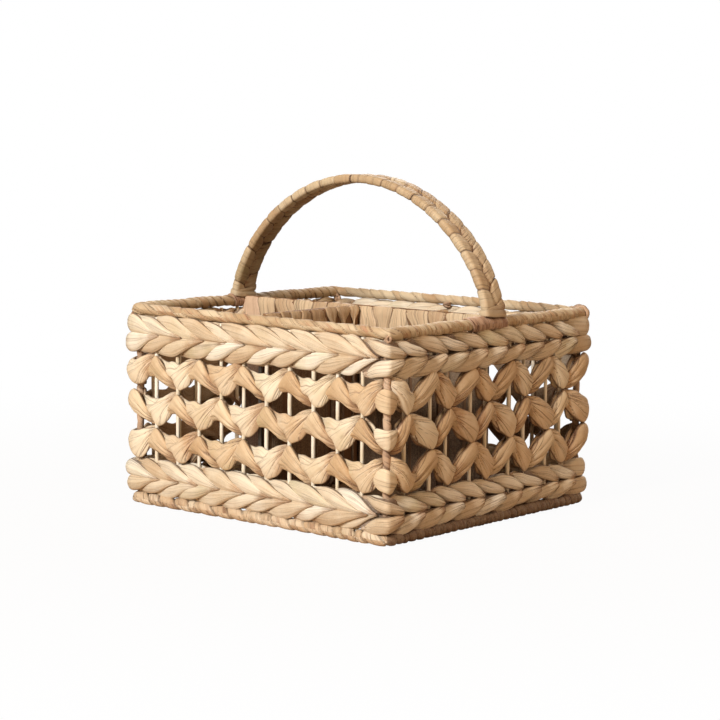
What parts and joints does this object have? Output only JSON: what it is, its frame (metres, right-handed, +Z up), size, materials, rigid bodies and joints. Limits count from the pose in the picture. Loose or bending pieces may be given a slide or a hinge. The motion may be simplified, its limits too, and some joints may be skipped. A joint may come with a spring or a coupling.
{
  "type": "divided basket",
  "caption": "Rectangular wire-framed basket of twined leaf strands with a fixed hoop handle and crossing wound dividers that make open compartments.",
  "frame": {"origin": "centre of the basket's underside, on the surface it stands on", "axes": "+Z up; +X along the longer walls, towards the front-right wall; +Y along the shorter walls, towards the back-right wall; the handle arches along X"},
  "size_m": [0.3042, 0.282, 0.2953],
  "materials": {
    "steel_wire": "dull wire, hidden under its wrapping",
    "rod_wrap": "tan dried leaf strap wrapped round a rod, matte with a faint sheen",
    "post_wrap": "brown dried leaf strap, matte",
    "handle_strap": "tan dried leaf strap, matte with a faint sheen",
    "divider_strap": "brown dried leaf strap, matte",
    "pale_leaf": "pale straw dried leaf, fibrous and matte",
    "dark_leaf": "tan dried leaf, fibrous and matte",
    "reed": "peeled cream reed, smooth",
    "mat_straw": "woven leaf mat, matte"
  },
  "bodies": {
    "root": {"rim_wire": "steel_wire", "base_wire": "steel_wire", "rim_wrap": "rod_wrap", "base_wrap": "rod_wrap", "post_wire_left": "steel_wire", "post_wrap_left": "post_wrap", "post_wire_front": "steel_wire", "post_wrap_front": "post_wrap", "post_wire_right": "steel_wire", "post_wrap_right": "post_wrap", "post_wire_back": "steel_wire", "post_wrap_back": "post_wrap", "top_band_upper_strand_a": "pale_leaf", "top_band_upper_strand_b": "dark_leaf", "top_band_lower_strand_a": "pale_leaf", "top_band_lower_strand_b": "dark_leaf", "bottom_band_upper_strand_a": "pale_leaf", "bottom_band_upper_strand_b": "dark_leaf", "bottom_band_lower_strand_a": "pale_leaf", "bottom_band_lower_strand_b": "dark_leaf", "open_row_1_upper_strand": "pale_leaf", "open_row_1_lower_strand": "dark_leaf", "open_row_2_upper_strand": "pale_leaf", "open_row_2_lower_strand": "dark_leaf", "open_row_3_upper_strand": "pale_leaf", "open_row_3_lower_strand": "dark_leaf", "long_wall_spoke_1": "reed", "long_wall_spoke_2": "reed", "long_wall_spoke_3": "reed", "long_wall_spoke_4": "reed", "long_wall_spoke_5": "reed", "long_wall_spoke_6": "reed", "long_wall_spoke_7": "reed", "long_wall_spoke_8": "reed", "long_wall_spoke_9": "reed", "long_wall_spoke_10": "reed", "short_wall_spoke_1": "reed", "short_wall_spoke_2": "reed", "short_wall_spoke_3": "reed", "short_wall_spoke_4": "reed", "short_wall_spoke_5": "reed", "short_wall_spoke_6": "reed", "short_wall_spoke_7": "reed", "short_wall_spoke_8": "reed", "short_wall_spoke_9": "reed", "floor_mat": "mat_straw", "long_divider_wire": "steel_wire", "long_divider_winding": "divider_strap", "front_divider_wire": "steel_wire", "front_divider_winding": "divider_strap", "back_divider_wire": "steel_wire", "back_divider_winding": "divider_strap", "handle_wire_front": "steel_wire", "handle_wire_back": "steel_wire", "handle_winding": "handle_strap", "handle_lashing_left": "handle_strap", "handle_lashing_right": "handle_strap"}
  },
  "joints": []
}
